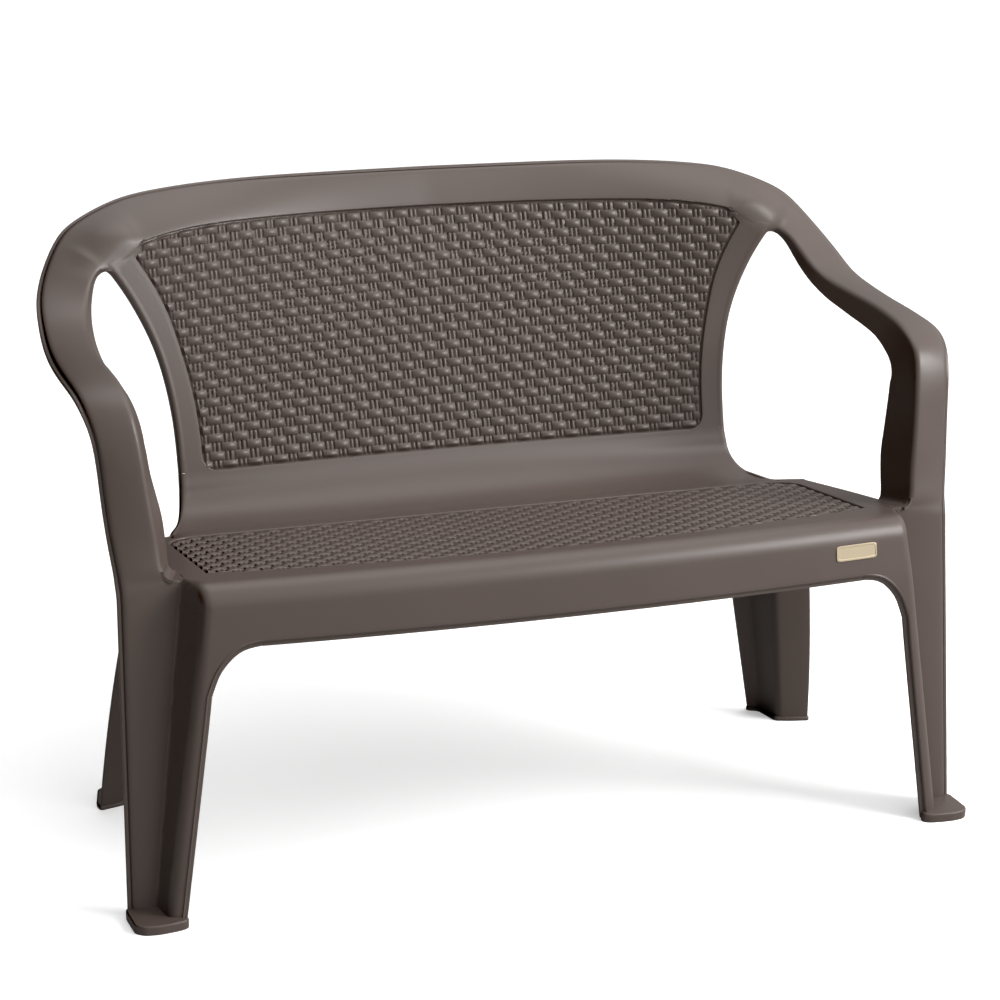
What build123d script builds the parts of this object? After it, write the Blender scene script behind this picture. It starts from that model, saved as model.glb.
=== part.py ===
from build123d import *
import math
import os

import numpy as np

# Two-seat garden bench moulded in one piece from a thin sheet of plastic.
# Millimetres. +X is the sitter's left, +Y runs from the seat front to the back, +Z is up.
# The origin is on the floor, at the centre of the bench's footprint box.
# The moulding is divided along its natural lines; the pieces meet face to face.

# ---- driving dimensions ----
WALL = 4.0                    # thickness of the moulded wall
APRON_BOTTOM = 343.0          # height of the straight lower edge of the front apron
APRON_FRONT = -303.0          # y of the apron's lower edge at the middle
APRON_BOW = 1.0e-4            # plan bow of the front, mm of setback per mm squared of x
APRON_LEAN = 0.167            # setback of the apron face per mm of height
LEG_LEAN = 0.05               # setback of the leg face per mm of height
FRONT_ROLL = 30.0             # radius where the apron rolls over into the seat
SEAT_HEIGHT = 416.0           # deck height at SEAT_FRONT
SEAT_FRONT = -240.0
SEAT_FALL = 0.107             # drop of the deck per mm towards the back
WEAVE_HALF = 444.0            # half width of the woven field of the seat
WEAVE_FRONT = -242.0          # front line of the woven field at the middle
WEAVE_BOW = 0.24e-3
WEAVE_REAR = 30.0
WEAVE_SINK = 2.0              # how far the woven fields lie below their borders
BACK_BOTTOM = 441.0           # height of the lower line of the woven back field
BACK_TOP = 753.5              # height of its upper line at the middle
BACK_SETBACK = 147.0          # y of the back surface at BACK_BOTTOM, at the middle
BACK_SLOPE = 0.41             # recline of the back, mm per mm
LUMBAR_RADIUS = 92.0
FOOT_HEIGHT = 14.0
KNEE_HEIGHT = 285.0           # where the leg's inner edge starts to arch into the apron
ARCH_END = 400.0              # x where that arch has become the apron's straight edge
LEG_TOP = 390.0               # where the leg's face meets the front roll
REAR_FOOT_HEIGHT = 16.0
SKIRT_DEPTH = 42.0
RIB_DEPTH = 22.0
RIB_THICKNESS = 3.0
RIB_COUNT = 5
BADGE_SIZE = (60.0, 1.6, 20.0)
BADGE_CENTRE = (388.0, 382.0)

# Outer rim, inner rim and inner flange of the arm, from the seat up the post,
# round the bend, along the armrest and up to the top of the arm opening.
ARM_OUTER = [(559, -206, 413), (566, -191, 476), (570, -181, 530), (575, -169, 582), (580, -153, 605),
             (584, -130, 621), (588, -80, 632), (588, 0, 639), (583, 70, 649), (577, 123, 663),
             (572, 156, 681), (563, 183, 701), (550, 205, 722), (533, 224, 744)]
ARM_INNER = [(501, -215, 413), (508, -202, 476), (514, -192, 530), (519, -180, 580), (523, -166, 608),
             (525, -137, 627), (528, -80, 640), (530, -5, 646), (525, 62, 652), (518, 107, 662),
             (511, 136, 677), (502, 156, 695), (490, 170, 710), (478, 183, 717)]
ARM_FLANGE = [(-17, 48, 0), (-19, 52, 0), (-19, 52, -3), (-18, 44, -18), (-18, 31, -32),
              (-18, 16, -34), (-18, 4, -28), (-16, 2, -26), (-13, 5, -21), (-10, 9, -15),
              (-8, 10, -11), (-6, 10, -9), (-4, 10, -7), (-2, 10, -4)]
BEND_START = 3                # station where the post becomes the bend
BEND_END = 6                  # station where the bend becomes the armrest
CORNER_STATIONS = 3           # stations of the rail that belong to the back corner
RIM_STATIONS = 3              # sections per station
# The top rail carries on from the arm to the middle of the back.
RAIL_OUTER = [(533, 224, 744), (506, 242, 765), (449, 263, 787), (393, 275, 797), (279, 289, 804),
              (140, 297, 805), (0, 300, 805)]
RAIL_X_INNER = [478, 448, 420, 380, 279, 140, 0]
# Half widths against height: woven field of the back, and outer edge of its side frame.
FIELD_EDGE = [(441, 361), (500, 363), (550, 369), (600, 380), (650, 395), (700, 420), (722, 434)]
STILE_EDGE = [(441, 394.5), (500, 396), (550, 402), (600, 414), (650, 435), (690, 459), (717, 478)]
STILE_FLANGE = 10.0
FIELD_GAP = 3.0               # groove between the woven back field and its frame
RIM_FLANGE = 10.0
ARCH = [(461, 285), (457, 296), (450, 312), (441, 324), (423, 338), (400, 343)]


def vec(*values):
    return np.array(values, float)


def unit(vector):
    return vector / np.linalg.norm(vector)


def natural_spline(knots, values, where):
    """Natural cubic spline through values at knots, evaluated at where."""
    t = np.asarray(knots, float)
    v = np.asarray(values, float).reshape(len(t), -1)
    gap = np.diff(t)
    system = np.eye(len(t))
    right = np.zeros_like(v)
    for i in range(1, len(t) - 1):
        system[i, i - 1:i + 2] = gap[i - 1], 2 * (gap[i - 1] + gap[i]), gap[i]
        right[i] = 6 * ((v[i + 1] - v[i]) / gap[i] - (v[i] - v[i - 1]) / gap[i - 1])
    bend = np.linalg.solve(system, right)
    where = np.atleast_1d(np.asarray(where, float))
    k = np.clip(np.searchsorted(t, where) - 1, 0, len(t) - 2)
    a = ((t[k + 1] - where) / gap[k])[:, None]
    b = 1 - a
    step = (gap[k] ** 2)[:, None]
    return a * v[k] + b * v[k + 1] + ((a ** 3 - a) * bend[k] + (b ** 3 - b) * bend[k + 1]) * step / 6


def edge_width(table, height):
    return float(natural_spline([h for h, _ in table], [w for _, w in table], height)[0, 0])


def face_y(x, z):
    """The front face of the apron and of the front legs."""
    lean = APRON_LEAN if z > APRON_BOTTOM else LEG_LEAN
    return APRON_FRONT + APRON_BOW * x * x + lean * (z - APRON_BOTTOM)


def deck_z(y):
    return SEAT_HEIGHT - SEAT_FALL * (y - SEAT_FRONT)


def back_y(x, z):
    """The back surface: reclined, and wrapping forward at the sides, more so towards the top."""
    rise = z - BACK_BOTTOM
    wrap = 0.08e-3 + 1.03e-6 * rise
    return BACK_SETBACK + BACK_SLOPE * rise - wrap * x * x


def weave_front(x):
    return WEAVE_FRONT + WEAVE_BOW * x * x


def field_top(x):
    return BACK_TOP - 18.0 * (abs(x) / 435.0) ** 8


def shell_solid(outer, inner):
    """Closed solid between two point grids, with spline edges along the first index."""
    rows, columns = len(outer), len(outer[0])

    def long_edge(grid, column):
        points = [Vector(*grid[row][column]) for row in range(rows)]
        return Edge.make_line(points[0], points[1]) if rows == 2 else Edge.make_spline(points)

    def short_edge(grid, row, column):
        return Edge.make_line(Vector(*grid[row][column]), Vector(*grid[row][column + 1]))

    edges = [[long_edge(grid, column) for column in range(columns)] for grid in (outer, inner)]
    faces = []
    for side in edges:
        for column in range(columns - 1):
            faces.append(Face.make_surface_from_curves(side[column], side[column + 1]))
    for column in (0, columns - 1):
        faces.append(Face.make_surface_from_curves(edges[0][column], edges[1][column]))
    for row in (0, rows - 1):
        for column in range(columns - 1):
            faces.append(Face.make_surface_from_curves(
                short_edge(outer, row, column), short_edge(inner, row, column)))
    solid = Solid(Shell(faces))
    return solid if solid.volume > 0 else Solid(Shell([-face for face in faces]))


def folded_solid(outer, inner):
    """Closed solid between two point grids, with a straight edge between every two points."""
    def quad(a, b, c, d):
        return Face.make_surface_from_curves(Edge.make_line(Vector(*a), Vector(*b)),
                                             Edge.make_line(Vector(*d), Vector(*c)))

    rows, columns = len(outer), len(outer[0])
    faces = []
    for grid in (outer, inner):
        for i in range(rows - 1):
            for k in range(columns - 1):
                faces.append(quad(grid[i][k], grid[i][k + 1], grid[i + 1][k + 1], grid[i + 1][k]))
    for k in (0, columns - 1):
        for i in range(rows - 1):
            faces.append(quad(outer[i][k], outer[i + 1][k], inner[i + 1][k], inner[i][k]))
    for i in (0, rows - 1):
        for k in range(columns - 1):
            faces.append(quad(outer[i][k], outer[i][k + 1], inner[i][k + 1], inner[i][k]))
    return Solid(Shell(faces))


def slab(outline, height):
    """A flat-bottomed solid standing on the floor."""
    return extrude(make_face(Polyline(*outline, close=True).edges()), height).solid()


# ---- seat ----

def front_profile(x, part):
    """Points up the apron and over the front roll, and how far each is set in to the wall's inside."""
    lean_angle = math.atan(APRON_LEAN)
    fall_angle = math.atan(SEAT_FALL)
    # centre of the roll: one radius behind the face and one radius below the deck
    face = vec(face_y(x, 380.0), 380.0)
    face_dir = vec(math.sin(lean_angle), math.cos(lean_angle))
    face_in = vec(math.cos(lean_angle), -math.sin(lean_angle))
    deck = vec(SEAT_FRONT, SEAT_HEIGHT)
    deck_dir = vec(math.cos(fall_angle), -math.sin(fall_angle))
    deck_in = vec(-math.sin(fall_angle), -math.cos(fall_angle))
    a = face + face_in * FRONT_ROLL
    b = deck + deck_in * FRONT_ROLL
    s = np.linalg.solve(np.column_stack([face_dir, -deck_dir]), b - a)
    centre = a + face_dir * s[0]
    start = math.atan2(-face_in[1], -face_in[0])
    end = math.atan2(-deck_in[1], -deck_in[0])
    points = []
    if part == "apron":
        base = vec(face_y(x, APRON_BOTTOM + 0.01), APRON_BOTTOM)
        top = centre - face_in * FRONT_ROLL
        points = [(base + (top - base) * f, face_in) for f in (0.0, 0.5, 1.0)]
    else:
        for f in np.linspace(0, 1, 7):
            angle = start + (end - start) * f
            out = vec(math.cos(angle), math.sin(angle))
            points.append((centre + out * FRONT_ROLL, -out))
        rear = weave_front(x)
        points.append((vec(rear, deck_z(rear)), deck_in))
    return points


def front_piece(part, half):
    stations = np.linspace(-half, half, 15)
    outer, inner = [], []
    for x in stations:
        profile = front_profile(x, part)
        outer.append([vec(x, *point) for point, _ in profile])
        inner.append([vec(x, *(point + inward * WALL)) for point, inward in profile])
    return shell_solid(outer, inner)


def seat_panel():
    rows = []
    for x in np.linspace(-WEAVE_HALF, WEAVE_HALF, 13):
        line = np.linspace(weave_front(x), WEAVE_REAR, 5)
        rows.append([vec(x, y, deck_z(y) - WEAVE_SINK) for y in line])
    top = np.array(rows)
    return shell_solid(top, top - vec(0, 0, WALL))


def seat_side_edge(y):
    """Half width of the seat's plain side border behind the arm post."""
    return 496.0 - 26.0 * ((y + 191.0) / 221.0) ** 1.4


def seat_border():
    outer = []
    for f in np.linspace(0, 1, 7):
        edge_y = -190.8 + 221.0 * f
        wide = seat_side_edge(edge_y)
        row = []
        for x in (WEAVE_HALF, 462.0, wide):
            y = weave_front(x) if f == 0 and x < 470 else edge_y
            row.append(vec(x, y, deck_z(y)))
        row[1][0] = min(462.0, (WEAVE_HALF + wide) / 2) if f > 0 else 462.0
        outer.append(row)
    top = np.array(outer)
    return shell_solid(top, top - vec(0, 0, WALL))


def seat_corner():
    """The block of deck between the front roll, the leg's side wall and the foot of the arm post."""
    start, step, end = seat_front_tangent(462.0), -209.0, weave_front(462.0)

    def block(y0, y1, wide0, wide1):
        top = [[vec(462.0, y0, deck_z(y0)), vec(wide0, y0, deck_z(y0))],
               [vec(462.0, y1, deck_z(y1)), vec(wide1, y1, deck_z(y1))]]
        base = [[vec(p[0], p[1], LEG_TOP) for p in row] for row in top]
        return folded_solid(top, base)

    return [block(start, step, 468.0, 481.0), block(step, end, 496.0, 496.0)]


def seat_front_tangent(x):
    return front_profile(x, "roll")[6][0][0]


def side_rail():
    """Skirt below the seat's side border, from the front leg to the rear leg."""
    outer = []
    for y in np.linspace(-185.0, 28.0, 7):
        x = seat_side_edge(y) - 0.5
        z = deck_z(y) - WALL
        outer.append([vec(x, y, z), vec(x, y, z - SKIRT_DEPTH)])
    face = np.array(outer)
    return shell_solid(face, face - vec(WALL, 0, 0))


def lumbar_profile():
    """Side view of the roll from the deck up into the back: points with their tangent angles."""
    fall = math.atan(SEAT_FALL)
    rise = math.atan2(1.0, BACK_SLOPE)
    end = vec(BACK_SETBACK, BACK_BOTTOM)
    centre = end + LUMBAR_RADIUS * vec(-math.sin(rise), math.cos(rise))
    profile = [(vec(WEAVE_REAR, deck_z(WEAVE_REAR)), -fall)]
    for angle in np.linspace(-fall, rise, 8):
        profile.append((centre + LUMBAR_RADIUS * vec(math.sin(angle), -math.cos(angle)), angle))
    return profile


def lumbar_band():
    widths = (430.0, 424.0, 417.0, 411.0, 405.0, 400.0, 397.0, 395.5, 394.5)
    profile = lumbar_profile()
    outer, inner = [], []
    for f in np.linspace(-1, 1, 9):
        row_out, row_in = [], []
        for (point, angle), wide in zip(profile, widths):
            x = f * wide
            forward = back_y(x, point[1]) - back_y(0, point[1]) if point[1] > 400 else 0.0
            away = vec(0, math.sin(angle), -math.cos(angle)) * WALL if angle > 0 else vec(0, 0, -WALL)
            here = vec(x, point[0] + forward, point[1])
            row_out.append(here)
            row_in.append(here + away)
        outer.append(row_out)
        inner.append(row_in)
    return shell_solid(outer, inner)


# ---- back ----

def back_inward():
    slope = math.atan(BACK_SLOPE)
    return vec(0, math.cos(slope), -math.sin(slope))


def back_panel():
    outer = []
    for f in np.linspace(-1, 1, 13):
        row = []
        for v in np.linspace(0, 1, 9):
            height = BACK_BOTTOM + (field_top(f * 434.0) - FIELD_GAP - BACK_BOTTOM) * v
            x = f * (edge_width(FIELD_EDGE, min(height, 722.0)) - FIELD_GAP)
            row.append(vec(x, back_y(x, height), height))
        outer.append(row)
    face = np.array(outer) + back_inward() * WEAVE_SINK
    return shell_solid(face, face + back_inward() * WALL)


def back_stile():
    """Side frame of the back between its woven field and the arm opening."""
    outer, inner = [], []
    for v in np.linspace(0, 1, 9):
        low = BACK_BOTTOM + (733.0 - BACK_BOTTOM) * v
        high = BACK_BOTTOM + (715.0 - BACK_BOTTOM) * v
        x0 = edge_width(FIELD_EDGE, min(low, 722.0))
        x1 = edge_width(STILE_EDGE, high)
        a = vec(x0, back_y(x0, low), low)
        c = vec(x1, back_y(x1, high), high)
        b = (a + c) / 2
        behind = back_inward()
        sideways = vec(1, 0, 0)
        outer.append([a, b, c, c + behind * STILE_FLANGE])
        inner.append([a + behind * WALL, b + behind * WALL,
                      c + (behind - sideways) * WALL, c + behind * STILE_FLANGE - sideways * WALL])
    return shell_solid(outer, inner)


# ---- rim: posts, bends, armrests, corners and top rail ----

def rail_inner_edge():
    points = []
    for x in RAIL_X_INNER[1:]:
        z = 717.0 + (478 - x) * 0.42 if x > 435 else field_top(x)
        points.append((x, back_y(x, z), z))
    return points


def rim_sections():
    """Sections of the rim from the foot of the right-hand post round to the middle of the back."""
    outer_points = np.array(ARM_OUTER + RAIL_OUTER[1:], float)
    inner_points = np.array(ARM_INNER + rail_inner_edge(), float)
    hang = np.array(ARM_FLANGE + [ARM_FLANGE[-1]] * (len(RAIL_OUTER) - 1), float)
    length = np.r_[0, np.cumsum(np.linalg.norm(np.diff((outer_points + inner_points) / 2, axis=0), axis=1))]
    # stations are spaced evenly between the given points, so every given point is a station
    index = np.linspace(0, len(length) - 1, RIM_STATIONS * (len(length) - 1) + 1)
    where = np.interp(index, np.arange(len(length)), length)
    outer_edge = natural_spline(length, outer_points, where)
    inner_edge = natural_spline(length, inner_points, where)
    flange = natural_spline(length, hang, where)
    tangent = np.gradient((outer_edge + inner_edge) / 2, axis=0)
    tangent[-1] = vec(-1, 0, 0)
    plate, plate_inside, lip, lip_inside = [], [], [], []
    for o, n, t, h in zip(outer_edge, inner_edge, tangent, flange):
        across = unit(o - n)
        up = unit(np.cross(across, t))
        away = unit(across - unit(h) * np.dot(across, unit(h)))
        crown = (n + o) / 2 + up * 1.5
        plate.append([n, crown, o, o - up * RIM_FLANGE])
        plate_inside.append([n - up * WALL, crown - up * WALL, o - (up + across) * WALL,
                             o - up * RIM_FLANGE - across * WALL])
        lip.append(n + h)
        lip_inside.append([n + h + away * WALL, n - up * WALL + away * WALL])
    return plate, plate_inside, lip, lip_inside


def rim_pieces():
    plate, plate_inside, lip, lip_inside = rim_sections()
    with_flange = [[edge] + row for edge, row in zip(lip, plate)]
    with_flange_inside = [pair + row[1:] for pair, row in zip(lip_inside, plate_inside)]
    last_arm = len(ARM_OUTER) - 1
    cuts = {"arm_post": (0, BEND_START), "arm_bend": (BEND_START, BEND_END), "armrest": (BEND_END, last_arm)}
    pieces = {}
    for name, (first, last) in cuts.items():
        span = slice(first * RIM_STATIONS, last * RIM_STATIONS + 1)
        pieces[name] = shell_solid(with_flange[span], with_flange_inside[span])
    corner_end = (last_arm + CORNER_STATIONS) * RIM_STATIONS
    span = slice(last_arm * RIM_STATIONS, corner_end + 1)
    pieces["back_corner"] = shell_solid(plate[span], plate_inside[span])

    def whole(rows):
        half = rows[corner_end:]
        return half + [[point * vec(-1, 1, 1) for point in row] for row in reversed(half[:-1])]

    return pieces, shell_solid(whole(plate), whole(plate_inside))


# ---- legs ----

def ridge_x(z):
    return 524.0 - 0.144 * z


def web_corner(z):
    """Where the leg's side wall meets its rear plate."""
    return 530.0 - 0.125 * z, -254.0 + 0.104 * z


def plate_edge_x(z):
    return 563.5 - 0.0155 * z


def front_leg():
    """Stepped section: face, side wall and set-back outer plate, as one bent sheet."""
    inner_rim = [(500.0 - 0.139 * z, z) for z in (FOOT_HEIGHT, 80.0, 150.0, 220.0)]
    inner_rim += ARCH + [(ARCH[-1][0], 366.0), (ARCH[-1][0], LEG_TOP)]
    outer, inner = [], []
    for x, z in inner_rim:
        (cx, cy), rx, px = web_corner(z), ridge_x(z), plate_edge_x(z)
        face = [vec(x, face_y(x, z), z), vec(rx, face_y(rx, z), z), vec(cx, cy, z), vec(px, cy, z)]
        behind, turned = vec(0, WALL, 0), vec(-WALL, WALL, 0)
        outer.append(face)
        inner.append([face[0] + behind, face[1] + turned, face[2] + turned, face[3] + behind])
    return folded_solid(outer, inner)


def post_root():
    """The flat plate that joins the leg's outer plate to the arm post at seat level."""
    (x0, y0), x1 = web_corner(LEG_TOP), plate_edge_x(LEG_TOP)
    (x2, y2, _), (x3, y3, _) = ARM_INNER[0], ARM_OUTER[0]
    top = LEG_TOP + 21.0
    outer = [[vec(x0, y0, LEG_TOP), vec(x1, y0, LEG_TOP)], [vec(x2, y2, top), vec(x3, y3, top)]]
    inner = [[point + vec(0, WALL, 0) for point in row] for row in outer]
    return folded_solid(outer, inner)


def front_foot():
    outline = [(499, -299), (507, -304.5), (520, -307), (539, -309), (556, -306), (566, -296),
               (567, -255), (566, -247), (523, -247), (516, -284), (500, -289)]
    return slab(outline, FOOT_HEIGHT)


def rear_leg():
    """Stepped section that splays backwards: outer face, side wall and inner flange."""
    outer, inner = [], []
    for f in np.linspace(0, 1, 8):
        z, z_in = REAR_FOOT_HEIGHT + (381.0 - REAR_FOOT_HEIGHT) * f, REAR_FOOT_HEIGHT + (378.0 - REAR_FOOT_HEIGHT) * f
        face = [vec(523.0 - 0.06 * z - 0.00019 * z * z, 88.0 - 0.137 * z, z),
                vec(480.0 - 0.143 * z, 98.0 - 0.135 * z, z),
                vec(472.0 - 0.19 * z_in, 147.0 - 0.125 * z_in, z_in),
                vec(457.0 - 0.23 * z_in, 152.0 - 0.125 * z_in, z_in)]
        behind, turned = vec(0, WALL, 0), vec(WALL, WALL, 0)
        outer.append(face)
        inner.append([face[0] + behind, face[1] + turned, face[2] + turned, face[3] + behind])
    return shell_solid(outer, inner)


def rear_foot():
    outline = [(455, 149), (468, 145), (475, 99), (496, 91), (524, 84), (526, 100), (514, 148),
               (470, 160), (455, 158)]
    return slab(outline, REAR_FOOT_HEIGHT)


def rear_apron():
    """Cross wall under the foot of the back, between the rear legs' inner flanges."""
    return Pos(0, 103, 366) * Box(2 * 364.0, WALL, 42.0)


def seat_ribs():
    """Ribs under the deck, running from the front roll to the rear apron."""
    ribs = []
    for x in np.linspace(-330.0, 330.0, RIB_COUNT):
        y0, y1 = -262.0, 98.0
        top0, top1 = deck_z(y0) - WALL - 3.0, deck_z(y1) - WALL - 3.0
        side = make_face(Polyline((y0, top0), (y1, top1), (y1, top1 - RIB_DEPTH), (y0, top0 - RIB_DEPTH),
                                  close=True).edges())
        ribs.append(Pos(x - RIB_THICKNESS / 2, 0, 0) * extrude(Plane.YZ * side, RIB_THICKNESS))
    return ribs


def badge():
    """Blank plate on the front apron, near its right-hand end."""
    x, z = BADGE_CENTRE
    tilt = math.degrees(math.atan(APRON_LEAN))
    turn = math.degrees(math.atan(2 * APRON_BOW * x))
    y = face_y(x, z) - BADGE_SIZE[1] / 2 - 0.05
    return Pos(x, y, z) * Rot(0, 0, turn) * Rot(-tilt, 0, 0) * Box(*BADGE_SIZE)


# ---- all pieces ----

def build():
    pieces = {"front_apron": [front_piece("apron", ARCH[-1][0])],
              "seat_front_roll": [front_piece("roll", 462.0)],
              "seat_panel": [seat_panel()],
              "lumbar_band": [lumbar_band()],
              "back_panel": [back_panel()],
              "rear_apron": [rear_apron()],
              "under_seat_ribs": seat_ribs(),
              "badge_plate": [badge()]}
    rim, top_rail = rim_pieces()
    pieces["top_rail"] = [top_rail]
    paired = {"seat_border": [seat_border()], "seat_corner": seat_corner(), "side_rail": [side_rail()],
              "back_stile": [back_stile()], "front_leg": [front_leg()], "post_root": [post_root()],
              "front_foot": [front_foot()], "rear_leg": [rear_leg()], "rear_foot": [rear_foot()]}
    for name, solid in rim.items():
        paired[name] = [solid]
    for name, solids in paired.items():
        pieces[name + "_right"] = solids
        pieces[name + "_left"] = [solid.mirror(Plane.YZ) for solid in solids]
    return pieces


os.makedirs("parts", exist_ok=True)
for name, solids in build().items():
    shape = solids[0] if len(solids) == 1 else Compound(children=list(solids))
    export_step(shape, f"parts/{name}.step")
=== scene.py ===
import math
import bmesh
import bpy
import numpy as np
from mathutils import Matrix, Vector


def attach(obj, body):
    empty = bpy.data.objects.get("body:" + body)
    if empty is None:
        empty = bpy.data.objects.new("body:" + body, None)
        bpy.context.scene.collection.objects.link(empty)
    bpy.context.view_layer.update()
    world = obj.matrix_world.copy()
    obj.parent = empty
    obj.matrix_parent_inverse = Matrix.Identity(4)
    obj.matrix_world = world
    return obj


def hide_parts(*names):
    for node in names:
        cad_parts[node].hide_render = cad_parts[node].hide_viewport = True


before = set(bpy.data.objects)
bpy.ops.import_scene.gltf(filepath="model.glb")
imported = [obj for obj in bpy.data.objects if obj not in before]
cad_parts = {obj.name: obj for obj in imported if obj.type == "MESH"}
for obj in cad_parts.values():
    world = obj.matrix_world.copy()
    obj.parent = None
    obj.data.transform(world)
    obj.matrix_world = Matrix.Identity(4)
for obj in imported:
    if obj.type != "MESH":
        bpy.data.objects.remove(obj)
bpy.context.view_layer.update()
mm = 0.001    # one millimetre in metres
print("frame loaded:", len(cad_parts), "nodes")

# Sizes below are in millimetres in the bench's own frame, and buildMesh turns them into metres.
shell = {
    "wall": 3.4,          # thickness of the moulded sheet
    "weldGap": 0.03,      # points closer than this become one
    "sharpAngle": 38.0,   # degrees, edges sharper than this stay crisp
}


def vec(*values):
    # the numbers as one float array
    return np.array(values, float)


def unit(v):
    # each vector divided by its own length
    return v / np.maximum(np.linalg.norm(v, axis=-1, keepdims=True), 1e-9)


def splineThrough(points, perSpan):
    # natural cubic spline on the chord length, perSpan steps between given points
    v = np.asarray(points, float)
    chord = np.linalg.norm(np.diff(v[:, :3], axis=0), axis=1)
    t = np.r_[0, np.cumsum(np.maximum(chord, 1e-6))]
    spans = len(t) - 1
    index = np.linspace(0, spans, perSpan * spans + 1)
    return splineAt(t, v, np.interp(index, np.arange(len(t)), t))


def splineAt(t, v, where):
    # natural cubic spline through values v at knots t
    t = np.asarray(t, float)
    v = np.asarray(v, float).reshape(len(t), -1)
    gap = np.diff(t)
    system = np.eye(len(t))
    right = np.zeros_like(v)
    k = np.arange(1, len(t) - 1)
    system[k, k - 1] = gap[:-1]
    system[k, k] = 2 * (gap[:-1] + gap[1:])
    system[k, k + 1] = gap[1:]
    right[1:-1] = 6 * (np.diff(v[1:], axis=0) / gap[1:, None] - np.diff(v[:-1], axis=0) / gap[:-1, None])
    bend = np.linalg.solve(system, right)
    where = np.asarray(where, float)
    i = np.clip(np.searchsorted(t, where) - 1, 0, len(t) - 2)
    a = ((t[i + 1] - where) / gap[i])[:, None]
    b = 1 - a
    curve = (a**3 - a) * bend[i] + (b**3 - b) * bend[i + 1]
    return a * v[i] + b * v[i + 1] + curve * (gap[i]**2)[:, None] / 6


def cornerArc(a, c, b, steps):
    # conic from a to b bulging towards the corner c, a circle when a and b are equally far from c
    cosine = np.sum(unit(a - c) * unit(b - c), axis=-1, keepdims=True)
    w = np.sqrt(np.clip((1 - cosine) / 2, 1e-4, 1))
    out = []
    for f in np.linspace(0, 1, steps + 1):
        p, q, r = (1 - f)**2, 2 * f * (1 - f), f * f
        out.append((p * a + q * w * c + r * b) / (p + q * w + r))
    return out


def hermite(a, b, da, db, shares):
    # cubic from a leaving along da to b arriving along db, the tangents as long as the gap
    size = np.linalg.norm(b - a, axis=-1, keepdims=True)
    out = []
    for f in shares:
        h = (2 * f**3 - 3 * f**2 + 1, f**3 - 2 * f**2 + f, -2 * f**3 + 3 * f**2, f**3 - f**2)
        out.append(h[0] * a + h[1] * size * da + h[2] * b + h[3] * size * db)
    return out


def toGrid(columns):
    # columns of points side by side as one grid
    return np.stack(columns, axis=1)


def gridFaces(rows, cols, flip):
    # four-sided faces between neighbouring rows and columns of a grid
    index = np.arange(rows * cols).reshape(rows, cols)
    quads = np.stack([index[:-1, :-1], index[:-1, 1:], index[1:, 1:], index[1:, :-1]], axis=-1).reshape(-1, 4)
    return quads[:, ::-1] if flip else quads


def facesAway(grid, outward):
    # true when the grid's own winding already looks along outward at its middle
    i, j = grid.shape[0] // 2 - 1, grid.shape[1] // 2 - 1
    cell = grid[max(i, 0):max(i, 0) + 2, max(j, 0):max(j, 0) + 2]
    normal = np.cross(cell[0, 1] - cell[0, 0], cell[1, 0] - cell[0, 0])
    return float(normal @ np.asarray(outward, float)) > 0


def mirrored(grid):
    # the same grid on the other side of the bench
    return grid * vec(-1, 1, 1)


def buildMesh(name, grids, wall=None, weld=True):
    # grids is a list of (points, outward direction); a wall thickens inwards
    allPoints, allFaces, start = [], [], 0
    for grid, outward in grids:
        flip = not facesAway(grid, outward)
        allPoints.append(grid.reshape(-1, 3))
        allFaces.append(gridFaces(grid.shape[0], grid.shape[1], flip) + start)
        start += grid.shape[0] * grid.shape[1]
    mesh = bpy.data.meshes.new(name)
    mesh.from_pydata(np.concatenate(allPoints) * mm, [], np.concatenate(allFaces).tolist())
    if weld:
        bm = bmesh.new()
        bm.from_mesh(mesh)
        bmesh.ops.remove_doubles(bm, verts=bm.verts, dist=shell["weldGap"] * mm)
        bmesh.ops.dissolve_degenerate(bm, dist=0.005 * mm, edges=bm.edges)
        bm.to_mesh(mesh)
        bm.free()
    obj = bpy.data.objects.new(name, mesh)
    bpy.context.scene.collection.objects.link(obj)
    if wall:
        solid = obj.modifiers.new("wall", "SOLIDIFY")
        solid.thickness = wall * mm
        solid.offset = -1
        solid.use_even_offset = False
        bpy.context.view_layer.update()
        made = bpy.data.meshes.new_from_object(obj.evaluated_get(bpy.context.evaluated_depsgraph_get()))
        obj.modifiers.clear()
        obj.data = made
        made.name = name
    obj.data.polygons.foreach_set("use_smooth", np.ones(len(obj.data.polygons), bool))
    obj.data.set_sharp_from_angle(angle=math.radians(shell["sharpAngle"]))
    return obj


def place(obj, material, slot, *nodes):
    # gives a piece its material and its body, and hides the CAD nodes that it stands for; the slot argument
    # is not used
    obj.data.materials.clear()
    obj.data.materials.append(material)
    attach(obj, "root")
    if nodes:
        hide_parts(*nodes)
    return obj


def bothSides(*names):
    # the left and right names of each node
    return [name + side for name in names for side in ("_left", "_right")]


# Shared curves of the moulding. Each is a plain function of x, y or z, used wherever surfaces meet.
form = {
    "apronBottom": 343.0, "apronFront": -303.0, "bow": 1.0e-4,
    "apronLean": 0.167, "legLean": 0.05, "frontRoll": 30.0,
    "seatHeight": 416.0, "seatFront": -240.0, "seatFall": 0.107,
    "weaveHalf": 444.0, "weaveFront": -242.0, "weaveBow": 0.24e-3, "weaveRear": 30.0,
    "backBottom": 441.0, "backTop": 753.5, "backSetback": 147.0, "backSlope": 0.41, "lumbarRadius": 92.0,
}


def faceY(x, z):
    # bowed front face, its lean easing from the leg's to the apron's around the apron's lower edge
    soft = 7.0
    rise = z - form["apronBottom"]
    extra = soft * np.logaddexp(0, rise / soft)
    return form["apronFront"] + form["bow"] * x * x + form["legLean"] * rise \
        + (form["apronLean"] - form["legLean"]) * extra


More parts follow.
